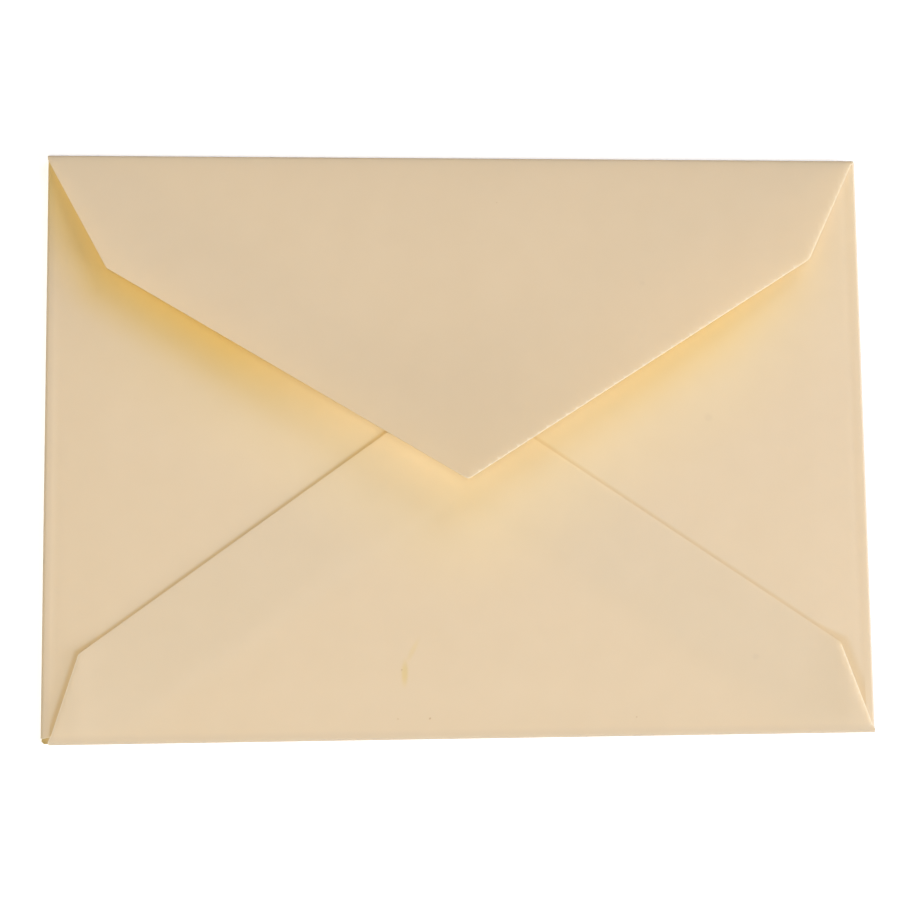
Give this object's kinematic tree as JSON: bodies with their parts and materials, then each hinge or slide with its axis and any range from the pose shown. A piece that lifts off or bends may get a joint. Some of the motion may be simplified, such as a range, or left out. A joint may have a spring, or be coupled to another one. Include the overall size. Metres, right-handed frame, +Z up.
{
  "type": "paper envelope",
  "caption": "Pale cream paper envelope folded from one sheet, with a pointed top flap lifted a little off its glued side and bottom flaps.",
  "frame": {"origin": "centre of the address side, on the surface that the envelope lies on", "axes": "+X along the top fold, +Y towards the top fold, +Z up through the flaps"},
  "size_m": [0.162, 0.114, 0.0097],
  "materials": {
    "cream_paper": "matte, uncoated"
  },
  "bodies": {
    "root": {"envelope": "cream_paper"}
  },
  "joints": []
}
